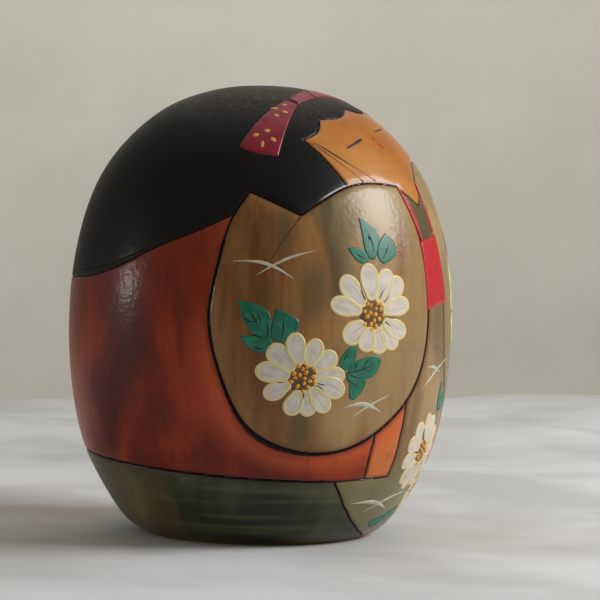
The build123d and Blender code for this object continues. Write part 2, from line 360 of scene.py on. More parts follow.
# darker wipes in a sleeve's stain: chart position, half width, half height, strength
SMUDGES = [
    (-17.0, 103.0, 2.4, 8.0, 1.0), (-4.0, 109.0, 2.0, 4.5, 0.9), (-8.0, 84.0, 5.5, 11.0, 1.0),
    (-23.5, 82.0, 2.4, 11.0, 0.6), (-11.5, 40.0, 3.4, 8.0, 1.0), (9.5, 39.0, 3.0, 5.0, 0.5),
    (24.0, 92.0, 2.0, 12.0, 0.5),
]


def tints(place, field, sleeve_chart):
    """A second tone inside some fields: 0 is the field's own stain."""
    tint = np.zeros(len(place))
    x, y, z = place.T

    def part(name):
        return field == FIELDS.index(name)

    # the coat darkens upwards, and is pale beyond the carved line below a sleeve
    coat = part("coat")
    tint[coat] = -0.6 * smooth((z[coat] - 50.0) / 35.0)
    for u in sleeve_chart.values():
        tint[coat & (u > 14.6 + (z - 22.0) * 0.09) & (z < 52) & (y < 0)] = 1.0
    # the dark collar between its two red edges, and the grey foot of the front
    collar = part("kimono_front") & (z > 99)
    tint[collar] = smooth((x[collar] + 8.0 + (z[collar] - 100) * 0.26) / 1.2)
    tint[collar] *= smooth((3.2 - (z[collar] - 102) * 0.12 - x[collar]) / 1.2)
    low = part("kimono_front") & (z < 40)
    tint[low] = -smooth((34.0 - z[low]) / 18.0)
    for which, u in sleeve_chart.items():
        mine = part("sleeve_" + which)
        wiped = np.zeros(mine.sum())
        for at, height, half_width, half_height, strength in SMUDGES:
            lean = u[mine] - at - 0.12 * (z[mine] - height)
            reach = (lean / half_width) ** 2 + ((z[mine] - height) / half_height) ** 2
            wiped = np.maximum(wiped, strength * np.exp(-0.7 * reach))
        tint[mine] = smooth((u[mine] + 26.0) / 50.0) * (1 - wiped) - wiped
        # hair and face are marked over the sleeve, for the painted highlight along the groove there
        above = (part("hair") | part("face")) & (u > -40)
        tint[above] = smooth((u[above] + 7.0) / 8.0)
    return tint


def new_object(name, verts, faces):
    mesh = bpy.data.meshes.new(name)
    mesh.from_pydata((np.asarray(verts, float) * MM).tolist(), [], faces)
    mesh.validate()
    mesh.polygons.foreach_set("use_smooth", [True] * len(mesh.polygons))
    mesh.update()
    piece = bpy.data.objects.new(name, mesh)
    bpy.context.scene.collection.objects.link(piece)
    return piece


def attach(piece, name, values):
    layer = piece.data.attributes.new(name, "FLOAT", "POINT")
    layer.data.foreach_set("value", np.asarray(values, np.float32))


def field_slabs():
    """Each coloured field as a closed slab whose top carries the carved relief."""
    place, normal, quads, crown = egg_grid()
    field, ratio, pillow, tint = divide(place, normal)
    groove = GROOVE_DEPTH * (1 - smooth(ratio / 1.15)) + 0.07 * (1 - smooth((ratio - 0.8) / 2.6))
    groove += 0.22 * (1 - smooth(pillow / 2.4))
    outer = place - normal * groove[:, None]
    inner = place - normal * SLAB
    owner = np.sort(field[quads], axis=1)[:, 1]
    made = {}
    for index, name in enumerate(FIELDS):
        loops = quads[owner == index].tolist()
        if name == "hair":
            loops += crown
        used = sorted({v for loop in loops for v in loop})
        order = {v: i for i, v in enumerate(used)}
        top = [[order[v] for v in loop] for loop in loops]
        edges = {}
        for loop in top:
            for a, b in zip(loop, loop[1:] + loop[:1]):
                if (b, a) in edges:
                    del edges[b, a]
                else:
                    edges[a, b] = True
        count = len(used)
        faces = top + [[v + count for v in reversed(loop)] for loop in top]
        faces += [[b, a, a + count, b + count] for a, b in edges]
        piece = new_object("doll_" + name, np.vstack([outer[used], inner[used]]), faces)
        for label, values in (("edge", ratio), ("tint", tint), ("sleeve", pillow)):
            attach(piece, label, np.tile(values[used], 2))
        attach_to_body(piece, "root")
        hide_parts(name)
        made[name] = piece
    return made


def wood_core():
    """The block inside the coloured fields, seen only at the foot."""
    below = SLAB + 0.4
    rows = [(0.0, 0.35), (FOOT_RADIUS - 14, 0.35), (FOOT_RADIUS - 9, 0.1), (FOOT_RADIUS - 6, 0.0),
            (FOOT_RADIUS - 0.6, 0.0), (FOOT_RADIUS + 0.2, 0.35), (38.0, FOOT_HEIGHT + 0.1)]
    pick = np.linspace(0, len(side_curve) - 1, 60).astype(int)[1:]
    inner = side_curve[pick] - np.stack([side_tangent[pick, 1], -side_tangent[pick, 0]], -1) * below
    rows += [(r, z) for r, z in inner if r > 0.5] + [(0.0, HEIGHT - below)]
    steps = 128
    verts, rings = [], []
    for r, z in rows:
        if r == 0.0:
            rings.append([len(verts)] * steps)
            verts.append((0, 0, z))
        else:
            rings.append(list(range(len(verts), len(verts) + steps)))
            turns = [2 * math.pi * j / steps for j in range(steps)]
            verts += [(r * math.sin(a), -r * math.cos(a), z) for a in turns]
    faces = []
    for low, high in zip(rings, rings[1:]):
        for j in range(steps):
            k = (j + 1) % steps
            # a ring that is one point gives triangles
            faces.append(list(dict.fromkeys((low[j], low[k], high[k], high[j]))))
    piece = new_object("doll_core", verts, faces)
    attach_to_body(piece, "root")
    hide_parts("turned_body")
    return piece


# ---------------------------------------------------------------- raised paint
def closed_shell(azimuth, flat, lift, stride):
    """Vertices and faces of a raised sheet and its under side, from a grid of chart points."""
    rows = len(flat) // stride - 1
    columns = stride - 1
    n = len(flat)
    faces = []
    for i in range(rows):
        for j in range(columns):
            a = i * stride + j
            faces.append((a, a + stride, a + stride + 1, a + 1))
            faces.append((n + a, n + a + 1, n + a + stride + 1, n + a + stride))
    ring = rim_ring(rows, columns)
    faces += [(a, b, n + b, n + a) for a, b in zip(ring, ring[1:] + ring[:1])]
    return np.vstack([on_egg(azimuth, flat, lift), on_egg(azimuth, flat, -BURY)]), faces


def rim_ring(rows, columns):
    """The grid's outer vertices in order."""
    stride = columns + 1
    out = list(range(columns)) + [i * stride + columns for i in range(rows)]
    back = [rows * stride + j for j in range(columns, 0, -1)] + [i * stride for i in range(rows, 0, -1)]
    return out + back


def round_pairs(rings, steps):
    """Each vertex and its neighbour along every one of some rings."""
    for k in range(rings):
        for j in range(steps):
            yield k * steps + j, k * steps + (j + 1) % steps


def edge_distance(flat, ring):
    """Distance of each chart point from the closed outline."""
    return np.min([d for _, d in gaps(flat, ring)], axis=0)


def domed(edge, height, soft):
    """A coat's lift at some distances from its edge; the very edge dips to meet the surface."""
    return height * smooth(edge / soft) - 0.08 * (1 - smooth(edge / 0.05))


def beside(centre, turn, out, aside):
    """The point a distance out from the centre along a direction, and aside to its left."""
    c, s = math.cos(turn), math.sin(turn)
    return centre[0] + out * c - aside * s, centre[1] + out * s + aside * c


def tapered(widths):
    """A stroke's width along its length, from widths at even steps."""
    curve = spline([(a, w) for a, w in zip(np.linspace(0, 1, len(widths)), widths)], 20)
    return lambda s: np.interp(s, curve[:, 0], curve[:, 1])


def paddle(width, base=0.5, shoulder=0.62):
    """A petal's width: narrow at the heart, full at the shoulder, round at the tip."""
    def at(s):
        body = width * (base + (1 - base) * smooth(s / (0.85 * shoulder)))
        tip = np.sqrt(np.clip(1 - ((s - shoulder) / (1 - shoulder)) ** 2, 0, 1))
        heel = np.sqrt(np.clip(1 - (1 - s / 0.12) ** 2, 0, 1))
        return body * np.where(s > shoulder, tip, 1.0) * np.where(s < 0.12, heel, 1.0)
    return at


def brushed(azimuth, path, width, height, rows=24, columns=10, rim=0.0, rim_width=0.9, soft=0.35):
    """One raised stroke, as vertices, faces and its along, across and rim marks.

    width is a function of the share of the length; rim raises a band inside the edge.
    """
    path = spline(path, 12) if len(path) > 2 else np.array(path, float)
    length = lengths(path)
    s = (1 - np.cos(np.linspace(0, math.pi, rows + 1))) / 2
    centre = sampled(s * length[-1], length, path)
    tangent = sampled(s * length[-1], length, tangents(path))
    across = np.stack([-tangent[:, 1], tangent[:, 0]], -1)
    half = np.maximum(width(s), 0.02) / 2
    t = np.sin(np.linspace(-math.pi / 2, math.pi / 2, columns + 1))
    flat = (centre[:, None] + across[:, None] * (half[:, None] * t[None])[..., None]).reshape(-1, 2)
    edge = edge_distance(flat, flat[rim_ring(rows, columns)])
    band = smooth(edge / 0.3) * (1 - smooth((edge - 0.45 * rim_width) / (0.55 * rim_width)))
    lift = domed(edge, height, soft) + rim * height * band
    verts, faces = closed_shell(azimuth, flat, lift, columns + 1)
    along = np.tile(np.repeat(s, columns + 1), 2)
    side = np.tile(t, 2 * (rows + 1))
    mark = np.tile(np.clip(1 - edge / (2 * rim_width), 0, 1), 2)
    return verts, faces, along, side, mark


def blot(azimuth, outline, height, rings=12, steps=72, grow=1.06):
    """A raised patch inside a closed outline whose first point is its tip."""
    curve = spline(outline + [outline[0]], 12)
    length = lengths(curve)
    ring = sampled(np.linspace(0, length[-1], steps, endpoint=False), length, curve)
    middle = ring.mean(axis=0)
    ring = middle + (ring - middle) * grow
    share = np.sin(np.linspace(0.04, 1, rings + 1) * math.pi / 2)
    flat = (middle + (ring - middle)[None] * share[:, None, None]).reshape(-1, 2)
    edge = edge_distance(flat, ring)
    top = on_egg(azimuth, flat, domed(edge, height, 0.35))
    low = on_egg(azimuth, flat[-steps:], -BURY)
    faces = [tuple(range(steps))[::-1]]
    faces += [(b, a, a + steps, b + steps) for a, b in round_pairs(rings + 1, steps)]
    faces.append(tuple(range(len(top), len(top) + steps)))
    if np.cross(ring[1:] - ring[:-1], middle - ring[:-1]).sum() < 0:
        faces = [loop[::-1] for loop in faces]
    reach = np.linalg.norm(flat - np.array(outline[0]), axis=1)
    along = np.append(1 - reach / reach.max(), np.zeros(steps))
    mark = np.append(np.clip(1 - edge / 1.4, 0, 1), np.ones(steps))
    return np.vstack([top, low]), faces, along, along * 0, mark


def painted(name, strokes, node=None, mirrored=False):
    """Several strokes joined into one piece, which stands for a CAD node."""
    faces, which = [], []
    base = 0
    for index, (verts, loops, *_) in enumerate(strokes):
        faces += [tuple(base + k for k in loop) for loop in loops]
        which.append(np.full(len(verts), index * 0.137 % 1.0))
        base += len(verts)
    verts, _, along, across, rim = zip(*strokes)
    verts = np.vstack(verts)
    if mirrored:
        verts = verts * (-1, 1, 1)
        faces = [loop[::-1] for loop in faces]
    piece = new_object(name, verts, faces)
    for label, values in (("along", along), ("across", across), ("rim", rim), ("which", which)):
        attach(piece, label, np.concatenate(values))
    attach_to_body(piece, "root")
    if node:
        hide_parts(node)
    return piece


def dab(azimuth, centre, radius, height, stretch=1.0, turn=0.0, rings=5, steps=16):
    """A small domed drop of paint, as a stroke tuple."""
    verts = []
    for k in range(rings + 1):
        q = k / rings
        for j in range(steps):
            a = 2 * math.pi * j / steps
            x, y = radius * q * stretch * math.cos(a), radius * q * math.sin(a)
            verts.append((*beside(centre, turn, x, y), height * (1 - q ** 3) - 0.15 * q ** 6))
    verts = np.array(verts)
    top = on_egg(azimuth, verts[:, :2], verts[:, 2])
    under = on_egg(azimuth, [centre], -0.3)
    faces = [(a, a + steps, b + steps, b) for a, b in round_pairs(rings, steps)]
    last = rings * steps
    faces += [(last + b, last + a, len(top)) for a, b in round_pairs(1, steps)]
    q = np.append(np.repeat(np.arange(rings + 1) / rings, steps), 1.0)
    return np.vstack([top, under]), faces, q, q * 0, q


# flower: azimuth, centre, petal tips about the centre (or their reach, for an even ring)
FLOWERS = {
    "upper": (SLEEVE_AZIMUTH, (12.3, 76.6), [
        (15.3, 2.9), (12.6, 10.9), (6.1, 14.8), (-2.5, 16.5), (-11.1, 12.6), (-15.6, 4.2),
        (-10.4, -8.7), (-3.0, -11.9), (3.7, -12.5), (9.6, -11.0), (13.8, -6.1)]),
    "lower": (SLEEVE_AZIMUTH, (-11.7, 56.7), [
        (14.3, 0.9), (11.3, 7.2), (4.4, 12.6), (-3.2, 14.6), (-10.6, 10.5), (-14.6, 2.7),
        (-11.4, -6.4), (-4.2, -11.8), (3.6, -12.2), (9.3, -10.8), (14.3, -5.1)]),
    "skirt": (0.0, (0.8, 30.4), 13.0),
    "hem": (15.5, (0.0, 16.2), 8.8),
}
PETAL_COUNT = 11
PETAL_WIDTH = 1.7 * math.pi     # of the petals' mean reach, shared out among them
HUB_SHARE = 0.31
DOT_COUNT = 17
DOT_TURN = 2.39996              # the golden angle spreads the dots evenly
SHADOW_CHANCE = 0.65


def flower(label, suffix="", mirrored=False):
    """Petals round a dotted heart, with thin shadow strokes beside some petals."""
    azimuth, centre, tips = FLOWERS[label]
    jitter = random.Random(label)
    if not isinstance(tips, list):
        turns = [2 * math.pi * (i + jitter.uniform(-0.1, 0.1)) / PETAL_COUNT for i in range(PETAL_COUNT)]
        tips = [(tips * math.cos(a) * 0.9, tips * math.sin(a)) for a in turns]
    mean = sum(math.hypot(*tip) for tip in tips) / len(tips)
    hub = mean * HUB_SHARE
    petals, shadows = [], []
    for i, (du, dz) in enumerate(tips):
        out = math.hypot(du, dz)
        turn = math.atan2(dz, du)
        bend = jitter.uniform(-0.05, 0.05) * out
        heel = hub * jitter.uniform(0.80, 0.95)
        path = [beside(centre, turn, *at) for at in ((heel, 0), (0.6 * out, bend), (out, 0))]
        own = PETAL_WIDTH * mean / len(tips) * jitter.uniform(0.88, 1.08)
        height = 0.16 + 0.035 * ((i * 5) % 4)
        petals.append(brushed(azimuth, path, paddle(own), height, 34, 20, rim=0.3, rim_width=0.17 * own))
        if jitter.random() < SHADOW_CHANCE:
            side = own * 0.42 * (1 if i % 2 else -1)
            stations = ((0.32, 0.7), (0.46, 0.95), (0.62, 1.0))
            path = [beside(centre, turn, q * out, b * side) for q, b in stations]
            width = tapered((0.5, 0.42, 0.26, 0.08))
            shadows.append(brushed(azimuth, path, width, height + 0.09, 18, 4, soft=0.05))
    dots = []
    for i in range(DOT_COUNT):
        q = hub * 1.04 * math.sqrt((i + 0.4) / DOT_COUNT) * jitter.uniform(0.92, 1.08)
        turn = i * DOT_TURN + jitter.uniform(-0.25, 0.25)
        size = hub * jitter.uniform(0.15, 0.21)
        dots.append(dab(azimuth, beside(centre, turn, q, 0), size, 0.5, 1.15, turn, 5, 14))
    heart = [dab(azimuth, centre, hub * 1.32, 0.16, rings=6, steps=28)]
    made = {}
    for kind, strokes in (("petals", petals), ("heart", heart), ("dots", dots), ("shadows", shadows)):
        name = f"flower_{label}_{kind}{suffix}"
        node = name if kind in ("petals", "heart") else None
        made[kind] = painted(name, strokes, node, mirrored)
    return made


# leaves as outlines from the tip round, then their vein strokes
SLEEVE_LEAVES = {
    "top": ([
        [(8.5, 107.2), (13.0, 104.8), (15.6, 101.6), (15.0, 97.8), (12.7, 94.4), (11.2, 95.0), (9.6, 99.2)],
        [(18.4, 102.4), (22.2, 98.6), (22.4, 96.4), (19.7, 93.9), (16.4, 93.2), (14.9, 95.2), (15.7, 99.4)],
        [(3.8, 97.7), (7.2, 97.9), (10.2, 96.2), (11.0, 94.0), (8.6, 93.0), (6.2, 94.2)],
    ], [
        [(11.2, 103.2), (12.8, 99.4), (13.2, 96.2)], [(19.4, 99.0), (18.0, 96.4), (16.4, 94.2)],
        [(6.2, 96.4), (8.4, 95.0), (10.2, 94.4)],
    ]),
    "back": ([
        [(-31.3, 80.7), (-26.1, 79.6), (-22.4, 76.4), (-22.1, 71.4), (-22.6, 68.8), (-27.2, 70.6),
         (-29.8, 75.2)],
        [(-30.9, 69.7), (-27.0, 69.9), (-22.4, 69.4), (-21.6, 67.0), (-24.0, 64.7), (-28.1, 66.2)],
        [(-20.4, 78.5), (-16.2, 76.7), (-13.6, 74.4), (-14.6, 70.6), (-19.4, 68.2), (-21.4, 69.0),
         (-21.6, 73.0)],
    ], [
        [(-28.2, 78.0), (-26.8, 75.4), (-25.6, 72.8)], [(-26.2, 78.1), (-25.4, 75.8), (-25.0, 73.4)],
        [(-30.2, 76.1), (-28.5, 74.6), (-26.3, 74.3)], [(-23.3, 74.7), (-22.8, 72.1), (-22.9, 69.3)],
        [(-27.0, 70.6), (-25.5, 69.7), (-24.0, 69.8)], [(-26.7, 66.7), (-25.2, 65.8), (-23.6, 66.0)],
        [(-18.2, 75.6), (-18.2, 72.2), (-18.9, 69.1)],
    ]),
    "low": ([
        [(6.3, 66.7), (6.4, 64.0), (4.4, 60.0), (2.2, 59.3), (0.6, 61.0), (1.9, 64.6), (4.2, 66.5)],
        [(15.6, 62.2), (15.2, 60.0), (13.2, 57.2), (8.4, 56.2), (3.6, 57.8), (5.0, 60.8), (9.6, 63.0),
         (14.2, 63.2)],
        [(6.2, 49.6), (8.6, 51.6), (10.1, 56.2), (6.3, 57.4), (3.0, 58.0), (4.3, 54.0), (4.6, 50.4)],
    ], [
        [(3.5, 64.8), (2.3, 63.1), (1.5, 61.5)], [(3.2, 58.1), (8.4, 59.2), (13.3, 61.0)],
        [(6.9, 61.4), (6.2, 60.4), (5.6, 59.3)], [(11.3, 62.6), (10.0, 61.5), (9.3, 60.0)],
        [(9.4, 59.4), (11.0, 59.0), (12.6, 59.0)], [(3.9, 58.1), (6.6, 56.9), (9.6, 56.8)],
        [(3.1, 56.6), (5.2, 55.0), (7.4, 54.1)],
    ]),
}
FRONT_LEAVES = {
    "skirt": [[(7.6, 53.4), (9.4, 49.6), (9.2, 45.6), (7.8, 43.4), (6.2, 45.2), (5.8, 49.6)],
              [(13.4, 49.6), (12.6, 46.0), (9.8, 43.6), (8.8, 44.6), (10.2, 47.6)]],
    "hem": [[(-9.9, 7.6), (-6.4, 8.4), (-3.6, 8.8), (-1.8, 6.8), (-4.0, 5.2), (-7.4, 5.4)],
            [(6.4, 11.8), (2.4, 10.8), (-1.8, 9.4), (-3.2, 8.2), (-0.6, 6.8), (3.4, 7.6), (6.0, 9.4)]],
}
# crossed needles: each stroke's path, then its greatest width
SLEEVE_NEEDLES = {
    "top": [([(-32.8, 93.2), (-24.0, 92.9), (-14.6, 87.8)], 1.15),
            ([(-6.6, 97.1), (-16.0, 94.6), (-26.4, 88.8)], 0.95)],
    "low": [([(2.8, 46.9), (9.0, 48.1), (17.3, 45.0)], 1.6),
            ([(20.4, 50.7), (12.6, 47.6), (5.4, 43.5)], 0.85)],
}
FRONT_NEEDLES = {
    "front": [([(12.0, 60.8), (1.6, 57.9), (-8.3, 51.9)], 0.95),
              ([(-6.7, 58.8), (-1.6, 58.6), (4.5, 56.3)], 1.2)],
    "hem": [([(-24.5, 14.5), (-15.4, 14.5), (-5.3, 11.5)], 1.5),
            ([(5.2, 16.5), (-6.7, 15.4), (-17.4, 11.0)], 0.9)],
}
SIDES = [("_right", False), ("_left", True)]


def leaf_strokes(azimuth, outlines):
    return [blot(azimuth, outline, 0.2) for outline in outlines]


def vein_strokes(azimuth, veins):
    width = tapered((0.16, 0.5, 0.46, 0.12))
    return [brushed(azimuth, vein, width, 0.27, 18, 5, soft=0.06) for vein in veins]


def needle_strokes(azimuth, lines):
    strokes = []
    for path, width in lines:
        widths = [width * w for w in (0.12, 0.66, 1.0, 0.72, 0.10)]
        strokes.append(brushed(azimuth, path, tapered(widths), 0.14, 36, 8, soft=0.3))
    return strokes


def motifs():
    """Every flower, leaf, vein and needle, by kind; the veins have no CAD node."""
    groups = {kind: [] for kind in ("petals", "heart", "dots", "shadows", "leaves", "veins", "needles")}

    def add(kind, label, strokes, mirrored=False):
        name = f"{kind}_{label}"
        groups[kind].append(painted(name, strokes, None if kind == "veins" else name, mirrored))

    for label in FLOWERS:
        for suffix, mirrored in (SIDES if label in ("upper", "lower") else [("", False)]):
            for kind, piece in flower(label, suffix, mirrored).items():
                groups[kind].append(piece)
    for suffix, mirrored in SIDES:
        for label, (outlines, veins) in SLEEVE_LEAVES.items():
            add("leaves", label + suffix, leaf_strokes(SLEEVE_AZIMUTH, outlines), mirrored)
            add("veins", label + suffix, vein_strokes(SLEEVE_AZIMUTH, veins), mirrored)
        for label, lines in SLEEVE_NEEDLES.items():
            add("needles", label + suffix, needle_strokes(SLEEVE_AZIMUTH, lines), mirrored)
    for label, outlines in FRONT_LEAVES.items():
        add("leaves", label, leaf_strokes(0.0, outlines))
    for label, lines in FRONT_NEEDLES.items():
        add("needles", label, needle_strokes(0.0, lines))
    return groups


def quad_patch(azimuth, corners, height, rows=40, columns=28, bulge=0.0):
    """A painted patch between four corners: start left, start right, end right, end left."""
    a, b, c, d = [np.array(p, float) for p in corners]
    s, t = np.meshgrid(np.linspace(0, 1, rows + 1), np.linspace(0, 1, columns + 1), indexing="ij")
    s, t = s[..., None], t[..., None]
    flat = a * (1 - s) * (1 - t) + b * (1 - s) * t + c * s * t + d * s * (1 - t)
    end = (c + d) / 2 - (a + b) / 2
    flat = (flat + end * (bulge * s * 4 * t * (1 - t))).reshape(-1, 2)
    edge = edge_distance(flat, flat[rim_ring(rows, columns)])
    verts, faces = closed_shell(azimuth, flat, domed(edge, height, 0.45), columns + 1)
    mark = np.tile(np.clip(1 - edge / 0.9, 0, 1), 2)
    return verts, faces, np.tile(s.reshape(-1), 2), np.tile(t.reshape(-1) * 2 - 1, 2), mark


# the ribbon's three bands on the top chart: corners, thickness, bulge of the far end
RIBBON = {
    "ribbon_tail_right": ([(-21.4, -17.6), (-21.2, -21.7), (-42.7, -25.2), (-45.6, -12.4)], 0.26, 0.05),
    "ribbon_knot": ([(-20.4, -17.6), (-20.6, -21.7), (-10.2, -22.8), (-5.6, -17.1)], 0.4, 0.0),
    "ribbon_tail_left": ([(-4.8, -17.2), (-9.4, -22.8), (20.7, -25.2), (23.6, -12.4)], 0.26, 0.05),
}
RIBBON_MIDDLE = -11.0
# ochre drops on the near tail: place and turn; the far tail mirrors them
RIBBON_DROPS = [
    ((-24.8, -18.6), -1.3), ((-28.5, -17.0), -1.1), ((-28.2, -20.5), -1.4), ((-31.2, -18.8), -1.5),
    ((-38.0, -18.9), -1.1), ((-40.8, -16.2), -1.1), ((-39.6, -21.8), -1.6), ((-42.4, -19.3), 0.3),
]


def ribbon():
    cloth = []
    for name, (corners, height, bulge) in RIBBON.items():
        cloth.append(painted(name, [quad_patch(TOP, corners, height, bulge=bulge)], name))
    drops = []
    for (x, y), turn in RIBBON_DROPS:
        for place, way in (((x, y), turn), ((2 * RIBBON_MIDDLE - x, y), -turn)):
            drops.append(dab(TOP, place, 0.95, 0.34, 1.75, way, 4, 14))
    return cloth, painted("ribbon_drops", drops)


# red strokes; the collar's edges with the widths along them
SASH = [(-7.8, 99.8), (-8.0, 77.5), (8.2, 79.6), (5.0, 102.0)]
COLLAR = {
    "collar_edge_right": ([(-12.2, 117.0), (-9.4, 110.0), (-6.6, 99.8)], (0.5, 1.7, 2.2, 1.8, 0.9)),
    "collar_edge_left": ([(1.2, 118.6), (2.0, 111.0), (3.4, 102.4)], (0.5, 1.2, 1.5, 1.5, 1.2)),
}
LIPS = [[(-8.6, 133.3), (-7.9, 132.1)], [(-7.7, 131.4), (-6.9, 129.4)]]
HEM_STRIP = [(-3.0, 1.9), (4.0, 1.5), (10.2, 2.9)]
FLECK = [(-22.9, 91.2), (-22.0, 90.4), (-22.9, 89.6), (-22.2, 88.9)]


def red_paint():
    made = [painted("sash", [quad_patch(0, SASH, 0.22)], "sash")]
    for name, (path, widths) in COLLAR.items():
        made.append(painted(name, [brushed(0, path, tapered(widths), 0.2, 40, 8)], name))
    lips = [brushed(0, path, tapered((0.9, 1.3, 0.8)), 0.1, 10, 5, soft=0.08) for path in LIPS]
    made.append(painted("mouth", lips, "mouth"))
    strip = brushed(0, HEM_STRIP, tapered((0.3, 1.0, 1.1, 0.4)), 0.12, 30, 6)
    made.append(painted("hem_strip", [strip]))
    fleck = brushed(SLEEVE_AZIMUTH, FLECK, tapered((0.2, 0.5, 0.5, 0.5, 0.2)), 0.05, 20, 4, soft=0.1)
    made.append(painted("sleeve_fleck", [fleck]))
    return made


# thin burnt or inked lines: azimuth, path, widths along it
FOLD = (SLEEVE_AZIMUTH, [(-11.4, 107.4), (-18.6, 98.4), (-22.3, 92.4)], (0.6, 0.4, 0.35, 0.3, 0.2))
INK_LINES = {
    "eye_right": (0, [(-23.8, 129.5), (-19.2, 131.1), (-14.6, 132.6)], (0.65, 0.65, 0.7, 0.85, 0.6)),
    "eye_left": (0, [(-3.3, 135.2), (5.4, 136.1)], (0.35, 0.5, 0.5, 0.45, 0.3)),
    "jaw_line_outer": (0, [(-32.2, 131.3), (-28.6, 126.0), (-21.2, 119.2)], (0.3, 0.75, 0.5, 0.3, 0.2)),
    "jaw_line_inner": (0, [(-32.8, 131.0), (-30.4, 125.4), (-26.0, 118.9)], (0.25, 0.5, 0.36, 0.3, 0.25)),
    "sleeve_fold_right": FOLD,
    "sleeve_fold_left": FOLD,
}


def ink_lines():
    made = []
    for name, (azimuth, path, widths) in INK_LINES.items():
        stroke = brushed(azimuth, path, tapered(widths), 0.05, 40, 6, soft=0.08)
        node = name if name.startswith("eye") else None
        made.append(painted(name, [stroke], node, mirrored=name == "sleeve_fold_left"))
    return made


# ---------------------------------------------------------------- materials
def linear(r, g, b):
    """An sRGB colour, 0 to 255, as scene-linear RGBA."""
    out = []
    for c in (r / 255, g / 255, b / 255):
        out.append(c / 12.92 if c <= 0.04045 else ((c + 0.055) / 1.055) ** 2.4)
    return (*out, 1.0)


class Graph:
    """Short names for building a material's nodes. Colours are sRGB triples."""

    def __init__(self, name):
        self.mat = bpy.data.materials.new(name)
        self.mat.use_nodes = True
        self.tree = self.mat.node_tree
        self.shader = self.tree.nodes["Principled BSDF"]
        self.coords = self.tree.nodes.new("ShaderNodeTexCoord").outputs["Object"]

    def feed(self, socket, value):
        """Give a socket a value, or another node's output."""
        if isinstance(value, bpy.types.NodeSocket):
            self.tree.links.new(value, socket)
        else:
            socket.default_value = value

    def fill(self, node, **inputs):
        for key, value in inputs.items():
            self.feed(node.inputs[key.replace("_", " ")], value)
        return node

    def add(self, kind, **inputs):
        return self.fill(self.tree.nodes.new("ShaderNode" + kind), **inputs)

    def noise(self, scale, detail=4.0, rough=0.55, stretch=(1, 1, 1), distort=0.0):
        mapping = self.add("Mapping", Vector=self.coords, Scale=stretch)
        node = self.add("TexNoise", Vector=mapping.outputs["Vector"], Scale=scale, Detail=detail,
                        Roughness=rough, Distortion=distort)
        return node.outputs["Fac"]

    def attribute(self, name):
        node = self.add("Attribute")
        node.attribute_name = name
        return node.outputs["Fac"]

    def ramp(self, source, low, high, start=0.0, end=1.0):
        node = self.add("MapRange", Value=source, From_Min=low, From_Max=high, To_Min=start, To_Max=end)
        node.interpolation_type = "SMOOTHSTEP"
        return node.outputs["Result"]

    def maths(self, operation, a, b):
        node = self.add("Math")
        node.operation = operation
        self.feed(node.inputs[0], a)
        self.feed(node.inputs[1], b)
        return node.outputs[0]

    def times(self, a, b):
        return self.maths("MULTIPLY", a, b)

    def mix(self, factor, first, second):
        node = self.add("Mix")
        node.data_type = "RGBA"
        for index, value in ((0, factor), (6, first), (7, second)):
            self.feed(node.inputs[index], linear(*value) if isinstance(value, tuple) else value)
        return node.outputs[2]

    def bump(self, height, strength, distance, **normal):
        node = self.add("Bump", Height=height, Strength=strength, Distance=distance, **normal)
        return node.outputs["Normal"]

    def height(self):
        return self.add("SeparateXYZ", Vector=self.coords).outputs["Z"]


